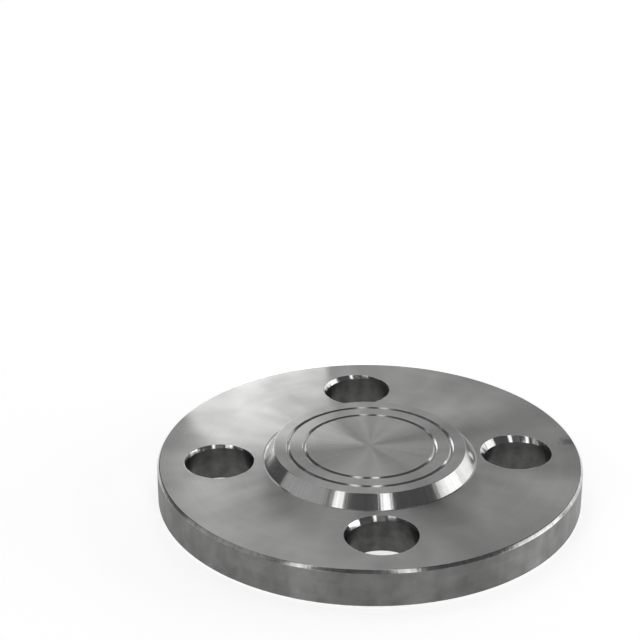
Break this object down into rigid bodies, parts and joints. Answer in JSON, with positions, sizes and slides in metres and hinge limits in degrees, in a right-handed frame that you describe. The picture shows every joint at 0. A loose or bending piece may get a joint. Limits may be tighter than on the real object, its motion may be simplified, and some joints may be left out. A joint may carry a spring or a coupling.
{
  "type": "blind pipe flange",
  "caption": "Round blind pipe flange with a raised sealing face, concentric gasket grooves and through bolt holes around it.",
  "frame": {"origin": "centre of the flat back face, which the flange rests on", "axes": "+Z along the flange's axis from the back to the raised face, with bolt holes on the X and Y axes"},
  "size_m": [0.099, 0.099, 0.012],
  "materials": {
    "turned_steel": "satin stainless steel with concentric turning marks, brighter on the bevels"
  },
  "bodies": {
    "root": {"flange": "turned_steel"}
  },
  "joints": []
}
